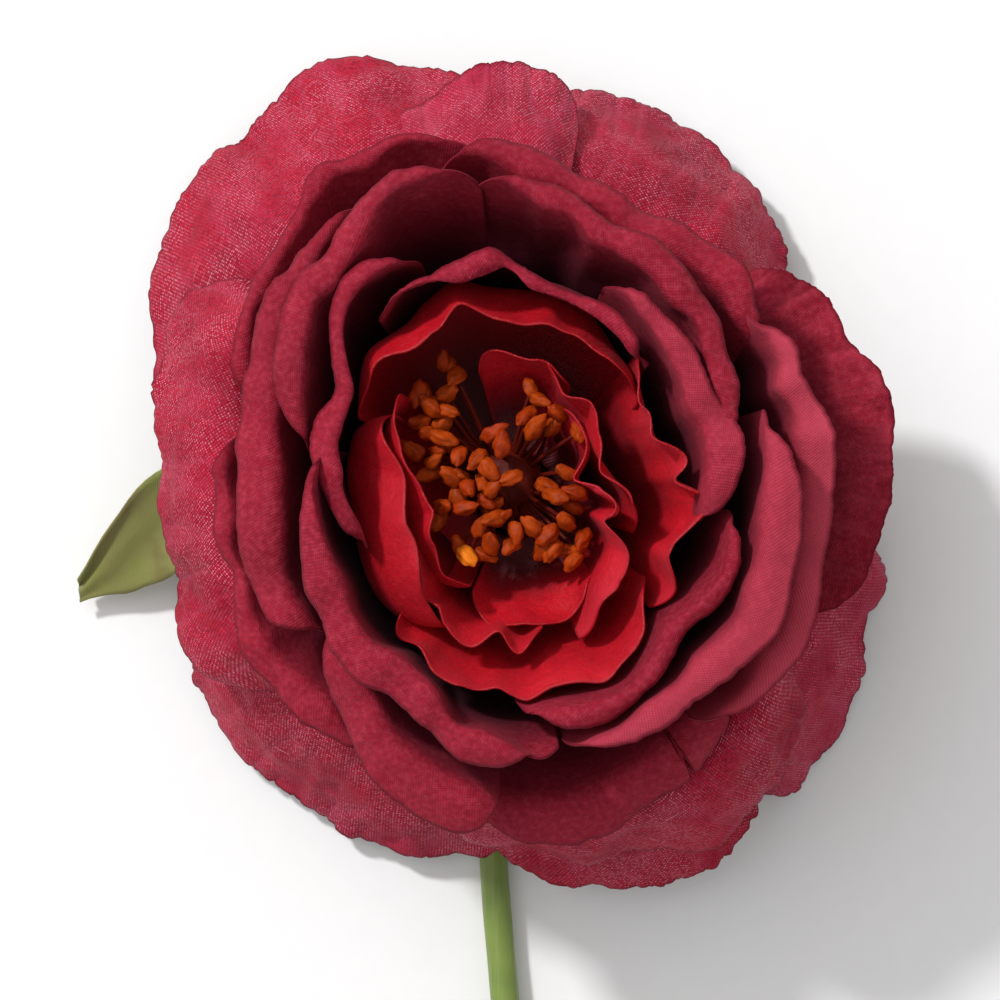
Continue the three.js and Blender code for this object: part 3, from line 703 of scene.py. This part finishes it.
# ---- Heart petals ----
# Six larger petals of the same scarlet satin stand round the centre. The upper and left ones lean
# in over the stamens, and the others stand open with a rippled edge.
petal("heart_petal_lower_left", row=17, crest=53, cup=3, belly=0.5, wave=1.35, wave_length=4,
      painted_light=0.2, **THIN,
      rim=[(200, 17.5, 0, -2), (212, 17, 0, 0), (225, 17.2, 0, 0), (234, 19.6, 0, 0),
           (243, 21, 0, 0), (254, 21, 0, 0), (264, 20, 0, 0), (273, 22.2, 0, 0), (282, 20.4, 0, -1)])
petal("heart_petal_upper_right", row=16, crest=55, cup=3.4, wave=1.5, wave_length=4, **THIN,
      rim=[(-18, 18.5, 0, -3), (-8, 18.4, 0, -1), (0, 17.4, 0, 0), (10, 15, 0, 0), (22, 13.8, 0, 0),
           (36, 14.2, 0, 0), (46, 15.6, 0, 0), (56, 16.2, 0, 0), (66, 17.8, 0, 0), (76, 21, 0, -1)])
petal("heart_petal_left", row=16, crest=57, cup=4.5, belly=10, wave=1.3, wave_length=7, painted_light=0.2,
      shade=0.2, **THIN,
      rim=[(146, 20.5, 0, -1), (156, 19.4, 0, 0), (166, 17, 0, 0), (175, 16, 0, 0),
           (186, 15.2, 0, 0), (196, 15, 0, 0), (206, 15.4, 0, 0), (218, 17, 0, 0),
           (230, 19.6, 0, -1), (244, 22, 0, -2)])
petal("heart_petal_bottom", row=15, crest=56, cup=3, wave=1.35, wave_length=5, painted_light=0.2, **THIN,
      rim=[(226, 25, 0, -3), (238, 26.4, 0, -1), (251, 28.4, 0, 0), (262, 27.6, 0, 0),
           (272, 28.4, 0, 0), (282, 27, 0, 0), (292, 27.6, 0, 0), (303, 28.2, 0, 0),
           (316, 26.4, 0, -1), (328, 24, 0, -3)])
petal("heart_petal_top", row=15, crest=57, cup=5, belly=7.5, wave=1.5, wave_length=6, **THIN,
      rim=[(36, 22.4, 0, -1), (46, 21.4, 0, 0), (57, 21.8, 0, 0), (70, 24, 0, 0), (78, 24.6, 0, 0),
           (88, 24.2, 0, 0), (97, 24.8, 0, 0), (106, 27, 0, 0), (114, 25.6, 0, 0),
           (122, 24.2, 0, 0), (133, 25.4, 0, 0), (143, 25, 0, 0), (154, 24, 0, -1)])
petal("heart_petal_right", row=14, crest=58, cup=3.2, wave=1.9, wave_length=4, painted_light=0.6, **THIN,
      rim=[(-40, 27, 0, -4), (-30, 25.4, 0, -1), (-22, 24.2, 0, 0), (-13, 26.4, 0, 0),
           (-4, 26.4, 0, 0), (2, 25, 0, 0), (8, 22.8, 0, 0), (18, 22, 0, 0), (27, 21.4, 0, 0),
           (34, 22.6, 0, 0), (41, 24.6, 0, 1), (49, 28, 0, 1)])

# ---- Rolled petals ----
# Seven petals of napped rose-red cloth wrap the heart. Each one's edge was rolled outwards over a
# hot rod, so that it ends in a soft round lip.
ROSE = petal_cloth(
    "napped rose cloth", deep=(0.16, 0.005, 0.016, 1), base=(0.38, 0.013, 0.034, 1),
    pale=(0.68, 0.080, 0.130, 1), dark=(0.020, 0.0015, 0.006, 1), thread=0.32, weave_depth=0.45,
    nap=0.65, sheen=0.04, rough=0.72, dark_from=0.11, gloss=0.10)
ROLLED = {"material": ROSE, "slot": "cup_cloth", "cells": (110, 50), "hang": 42, "cup": 5,
          "corner": 0.12, "corner_power": 7, "nick": 0.28, "wave": 0.8, "wave_length": 6,
          "crumple": 0.30}

petal("roll_petal_top", row=13, crest=61, drop=0.4, belly=5.5, **ROLLED,
      rim=[(44, 27.6, 1.6, -2), (52, 28.4, 2, 0), (63, 29.4, 2.2, 0), (74, 29.8, 2.2, 0),
           (84, 30.8, 2.2, 0), (90, 33, 2.2, 0), (96, 34.4, 2.2, 0), (104, 33.4, 2.2, 0),
           (111, 33.6, 2, 0), (120, 34, 1.8, -1), (128, 34, 1.5, -3)])
petal("roll_petal_left", row=12, crest=61, drop=0.4, belly=3.6, **ROLLED,
      rim=[(112, 38, 2, -2), (119, 39, 2.6, 0), (127, 39, 2.8, 0), (135, 36.6, 2.8, 0),
           (144, 31.6, 3, 0), (150, 29.6, 3.2, 0), (158, 30, 3.8, 0), (166, 29.6, 4, 0),
           (176, 27.6, 3.6, 0), (188, 26, 3, -2), (200, 25, 2, -5)])
petal("roll_petal_right", row=12, crest=62, drop=0.1, painted_light=0.3, **{**ROLLED, "hang": 18},
      rim=[(-8, 30, 3, -5), (0, 31.2, 4.2, -1), (10, 32.4, 4.6, 0), (18, 32.6, 4.8, 0),
           (26, 31.4, 4.2, 0), (34, 32, 4, 0), (43, 32.6, 3.6, 0), (52, 33, 3, 0), (60, 34, 2.2, 0),
           (67, 33.8, 1.6, -2)])
petal("roll_petal_bottom", row=11, crest=61, drop=0.35, **ROLLED,
      rim=[(270, 31, 1.6, -4), (276, 32.4, 2.4, -1), (283, 33.4, 2.6, 0), (291, 34.2, 3, 0),
           (299, 34, 2.6, 0), (307, 33, 2.4, 0), (314, 31.6, 2.5, 0), (321, 31, 2.7, 0),
           (331, 32.8, 3, 0), (341, 33.4, 2.4, 0), (350, 33, 2.2, 0), (356, 32.6, 1.4, -2)])
petal("roll_petal_upper_right", row=10, crest=61, drop=0.35, **ROLLED,
      rim=[(12, 33.4, 2.6, -4), (19, 34.2, 3.4, 0), (27, 35, 3.6, 0), (35, 36, 3.6, 0),
           (42, 38, 3.8, 0), (50, 38.8, 3.8, 0), (59, 40.4, 4, 0), (67, 40.4, 3.6, 0),
           (73, 40.8, 3.4, 0), (79, 43.2, 3.4, 0), (85, 43.8, 3, 0), (91, 46.4, 3, 0),
           (97, 47.4, 2.4, -1)])
petal("roll_petal_lower_right", row=9, crest=62, drop=0.1, painted_light=0.55, shade=1.5,
      **{**ROLLED, "hang": 18},
      rim=[(281, 37.4, 1.4, -4), (288, 38.4, 2.4, -1), (297, 38.6, 3.2, 0), (306, 38.6, 3.4, 0),
           (314, 38.8, 4, 0), (323, 39.8, 4.8, 0), (332, 41.4, 5.8, 0), (342, 41, 6, 0),
           (352, 40.4, 5.6, 0), (362, 40.2, 5.2, 0), (371, 39.8, 4, 0), (379, 39.2, 2, -1)])
petal("roll_petal_lower_left", row=8, crest=63, drop=0.45, belly=1.8, shade=1.4,
      **{**ROLLED, "cup": 3.6},
      rim=[(166, 29.8, 1.6, -3), (173, 30.4, 2.6, 0), (184, 31, 3.6, 0), (198, 31.4, 4.4, 0),
           (209, 32, 5, 0), (218, 33.2, 5.2, 0), (228, 33.8, 5, 0), (238, 32.8, 4.9, 0),
           (248, 34.4, 4.6, 0), (255, 37, 4.6, 0), (262, 38.2, 4.6, 0), (271, 38.6, 3.4, 0),
           (280, 38.2, 1.6, -2)])

# ---- Cup petals ----
# Four larger petals of the same napped cloth make the cup that the rolled petals stand in.
CUPPED = {**ROLLED, "cup": 3.4}

petal("cup_petal_lower_left", row=7, crest=55, drop=0.55, **CUPPED,
      rim=[(214, 34, 2, -1), (221, 36.4, 4, 0), (229, 39, 6.6, 0), (237, 42.4, 8, 0),
           (243, 45, 8.4, 0), (250, 47, 8.4, 0), (259, 48.6, 8, 0), (267, 48.4, 5, -2)])
petal("cup_petal_upper_left", row=7, crest=61, drop=0.4, **CUPPED,
      rim=[(96, 46.4, 1.4, -1), (103, 48.2, 2.4, 0), (110, 48.6, 3.2, 0), (116, 47.4, 3.6, 0),
           (122, 45, 3.8, 0), (129, 42.8, 4.2, 0), (135, 43.2, 4.6, 0), (143, 41.2, 5, 0),
           (150, 39, 5, 0), (158, 36.6, 4.6, 0), (168, 33, 3, -3)])
petal("cup_petal_right", row=6, crest=56, drop=0.1, painted_light=0.8, shade=1.7, **{**CUPPED, "hang": 18},
      rim=[(-52, 45, 3, -4), (-44, 46, 4.4, -1), (-34, 46.4, 5, 0), (-26, 46.2, 5.4, 0),
           (-16, 45, 5.6, 0), (-8, 44.6, 5.8, 0), (0, 45.2, 5.8, 0), (8, 45.6, 5.8, 0),
           (15, 45.4, 5.2, 0), (22, 43.8, 3.8, 0), (28, 45.2, 3.2, 0), (34, 44.6, 2.4, 0),
           (40, 44.2, 1.4, -1)])
petal("cup_petal_left", row=6, crest=57, drop=0.4, **CUPPED,
      rim=[(114, 48.8, 1.6, -2), (121, 48.6, 2.6, 0), (128, 46.8, 3, 0), (134, 45.6, 3.4, 0),
           (140, 44.8, 4, 0), (147, 43.8, 5, 0), (155, 41.6, 5.4, 0), (164, 40.2, 6, 0),
           (173, 39.4, 6.4, 0), (182, 39.2, 6.6, 0), (191, 39.4, 6.6, 0), (200, 40, 6.4, 0),
           (208, 39.8, 5.4, 0), (216, 37, 3, -2)])

# ---- Collar petals ----
# Four petals close the cup from outside and hide the feet of the ones above.
COLLAR = {**ROLLED, "cup": 2.8}

petal("collar_petal_upper_right", row=5, crest=53, drop=0.45, shade=1.3, **COLLAR,
      rim=[(30, 44, 2, -2), (38, 44, 4, 0), (46, 45.6, 5, 0), (56, 45, 5, 0), (66, 44, 4.4, 0),
           (72, 45.6, 4, 0), (79, 46.8, 4, 0), (88, 49, 4, 0), (95, 51.4, 3.4, 0), (104, 51, 2, -1)])
petal("collar_petal_left", row=5, crest=48, drop=0.5, **COLLAR,
      rim=[(166, 43, 1.4, -1), (174, 44.2, 3.4, 0), (182, 43.4, 3.6, 0), (190, 43.4, 3, 0),
           (197, 42.6, 3, 0), (205, 44.4, 4, 0), (212, 45.4, 5, 0), (220, 44.4, 5, 0),
           (228, 43.8, 4.6, 0), (236, 44, 3, -1), (242, 43.6, 2, -3)])
petal("collar_petal_bottom", row=4, crest=45, drop=0.5, notches=[(0.78, 5, 0.35)], **COLLAR,
      rim=[(260, 45, 5, -1), (267, 48.4, 7, 0), (275, 50.4, 8, 0), (283, 50.6, 8, 0),
           (291, 49.2, 8, 0), (299, 48, 8, 0), (307, 47.2, 8, 0), (316, 46, 6, -2)])
petal("collar_petal_upper_left", row=4, crest=48, drop=0.4, **COLLAR,
      rim=[(92, 51, 1.4, 0), (100, 52.4, 1.8, 0), (107, 54.4, 2, 0), (114, 53.4, 2, 0),
           (121, 54.2, 2, 0), (128, 51, 2, 0), (136, 49, 2, 0), (144, 47.6, 2, 0),
           (152, 45.2, 2, 0), (159, 43, 2, 0), (167, 40.6, 1.6, -3)])

# ---- Outer petals ----
# Eight wide petals of crimson cloth with an open weave spread out and hang down towards the table,
# and a ninth on the right, of the napped rose cloth, turns up at its edge. All of them are cut, not
# hemmed, so they fray a little, and they have creases from the packing.
CRIMSON = petal_cloth(
    "woven crimson cloth", deep=(0.15, 0.003, 0.011, 1), base=(0.55, 0.012, 0.040, 1),
    pale=(0.62, 0.090, 0.180, 1), dark=(0.03, 0.001, 0.004, 1), thread=0.42, weave_depth=0.45,
    nap=0.42, sheen=0.03, rough=0.55, dark_from=0.45, glint=0.9, gloss=0.05)
OUTER = {"material": CRIMSON, "slot": "outer_cloth", "cells": (140, 70), "cup": 2.6,
         "turn_over": 0.0, "corner": 0.14, "corner_power": 9, "nick": 0.35, "wave": 1.5,
         "wave_length": 11, "crease": 0.35, "crumple": 1.0}

petal("outer_petal_right", row=3, crest=33, drop=-0.3, hang=-15, shade=1.5,
      **{**OUTER, "material": ROSE},
      rim=[(-24, 47.4, 12, -1), (-19, 51, 14, 0), (-12, 53, 15, 0), (-5, 53.7, 15, 0),
           (2, 54.9, 15, 0), (7, 55.1, 15, 0), (13, 56.3, 15, 0), (19, 55.8, 15, 0),
           (25, 53.4, 15, 0), (31, 53.5, 15, 0), (37, 51.9, 15, 0), (42, 50.4, 15, 0),
           (46, 47, 12, -1)])
petal("outer_petal_lower_fold", row=3, crest=38, drop=0.9, hang=66, **OUTER,
      rim=[(254, 50, 12, -2), (260, 51.4, 13, 0), (268, 52.6, 14, 0), (276, 54.2, 14, 0),
           (285, 56.2, 14, 0), (294, 57.2, 14, 0), (301, 58.6, 14, 0), (308, 57.7, 14, 0),
           (315, 56.8, 14, 0), (322, 54.2, 14, 0), (329, 49, 12, -2)])
petal("outer_petal_top", row=2, crest=30, drop=0.45, hang=35, painted_light=0.22, **OUTER,
      rim=[(80, 60.6, 21, -1), (84, 62.5, 21, 0), (89, 63.8, 21, 0), (94, 62.9, 21, 0),
           (100, 62.2, 21, 0), (107, 60.6, 21, 0), (114, 58.6, 21, 0), (124, 54.6, 20, -1)])
petal("outer_petal_left", row=2, crest=35, drop=0.85, hang=66, **OUTER,
      rim=[(138, 48, 12, -2), (144, 54.4, 14, 0), (150, 56.4, 15, 0), (156, 56.8, 15, 0),
           (163, 54.4, 15, 0), (171, 51.5, 15, 0), (179, 53.5, 15, 0), (187, 52.7, 15, 0),
           (194, 52.2, 15, 0), (202, 52, 15, 0), (210, 51.6, 14, 0), (220, 47, 12, -2)])
petal("outer_petal_bottom", row=1, crest=28, drop=0.66, hang=50, **OUTER,
      rim=[(258, 50, 20, -2), (265, 53.1, 24, 0), (272, 56.2, 24, 0), (279, 58.5, 24, 0),
           (286, 62.1, 24, 0), (292, 62.6, 24, 0), (298, 62, 24, 0), (303, 61, 24, 0),
           (308, 59.7, 24, 0), (314, 55, 22, -2)])
petal("outer_petal_upper_right", row=1, crest=26.5, drop=0.9, hang=55, painted_light=0.12, **OUTER,
      rim=[(30, 49, 20, -1), (37, 51.7, 22, 0), (41, 54.7, 23, 0), (46, 57.4, 23, 0),
           (52, 60.1, 23, 0), (58, 60.9, 23, 0), (64, 62.5, 23, 0), (70, 62.6, 23, 0),
           (76, 62.4, 23, 0), (81, 62.2, 23, 0), (87, 60.8, 22, -1)])
petal("outer_petal_lower_right", row=0, crest=24, drop=0.84, hang=55, painted_light=0.35, **OUTER,
      rim=[(298, 52, 20, -2), (306, 57, 23, 0), (311, 60.7, 24, 0), (316, 62.3, 24, 0),
           (322, 62.3, 24, 0), (328, 59.8, 24, 0), (334, 58.3, 24, 0), (341, 56.7, 24, 0),
           (348, 58.2, 24, 0), (354, 55.6, 24, 0), (361, 51.9, 22, -2)])
petal("outer_petal_lower_left", row=0, crest=25, drop=0.84, hang=55, painted_light=0.15, **OUTER,
      rim=[(198, 49.3, 22, -2), (204, 53.1, 24, 0), (210, 56.4, 25, 0), (218, 57.8, 25, 0),
           (226, 57.8, 25, 0), (233, 57.1, 25, 0), (240, 56.8, 25, 0), (247, 56.7, 25, 0),
           (254, 55.2, 25, 0), (261, 55.8, 25, 0), (268, 56.2, 25, 0), (275, 54.9, 23, -2)])
petal("outer_petal_upper_left", row=0, crest=25, drop=0.74, hang=52, **OUTER,
      rim=[(88, 60, 24, -1), (95, 62.7, 26, 0), (101, 65.9, 26, 0), (108, 68.8, 26, 0),
           (115, 70.7, 26, 0), (121, 69.4, 26, 0), (126, 67.6, 26, 0), (130, 69.4, 26, 0),
           (136, 67.8, 26, 0), (143, 66.3, 26, 0), (150, 63.2, 26, 0), (156, 59.6, 26, 0),
           (163, 57, 25, 0), (172, 53.3, 24, -1)])

# ---- Table, lights and camera ----
# A plain pale table, a bright room, one main light from the upper left, and a camera that looks
# straight down on the open flower.
floor_shape = bmesh.new()
bmesh.ops.create_grid(floor_shape, x_segments=1, y_segments=1, size=6)
floor_mesh = bpy.data.meshes.new("table")
floor_shape.to_mesh(floor_mesh)
floor_shape.free()
table = bpy.data.objects.new("table", floor_mesh)
bpy.context.scene.collection.objects.link(table)
paint = Nodes("pale table")
speckle = paint.noise(paint.place("Object", (1, 1, 1)), 300, 2)
table.data.materials.append(paint.finish(
    paint.blend(speckle, (0.92, 0.92, 0.92, 1), (0.95, 0.95, 0.95, 1)),
    paint.span(speckle, 0.3, 0.7, 0.75, 0.85), paint.bump(speckle, 0.00005, 0.2)))

world = bpy.data.worlds.new("room")
bpy.context.scene.world = world
world.use_nodes = True
world.node_tree.nodes["Background"].inputs["Color"].default_value = (1.0, 1.0, 1.0, 1)
world.node_tree.nodes["Background"].inputs["Strength"].default_value = 0.5

HEAD = at(0, 0, 45)


def lamp(name, direction, distance, size, power):
    light = bpy.data.lights.new(name, "AREA")
    light.shape = "DISK"
    light.size = size
    light.energy = power
    holder = bpy.data.objects.new(name, light)
    bpy.context.scene.collection.objects.link(holder)
    toward = Vector(direction).normalized()
    holder.location = HEAD + toward * distance
    holder.rotation_euler = (-toward).to_track_quat("-Z", "Y").to_euler()
    return holder


lamp("main light", (-0.56, 0.56, 0.80), 1.6, 0.16, 17.5)
lamp("wide light", (-0.45, 0.50, 1.1), 2.2, 2.0, 12)

bpy.context.scene.view_settings.view_transform = "Standard"

camera_data = bpy.data.cameras.new("camera")
camera_data.lens = 177.4
camera_data.sensor_width = 36
camera_data.clip_end = 20
camera = bpy.data.objects.new("camera", camera_data)
bpy.context.scene.collection.objects.link(camera)
camera.location = at(-2.1, -0.7, 750)
camera.rotation_euler = (0, 0, 0)
bpy.context.scene.camera = camera

bpy.context.view_layer.update()
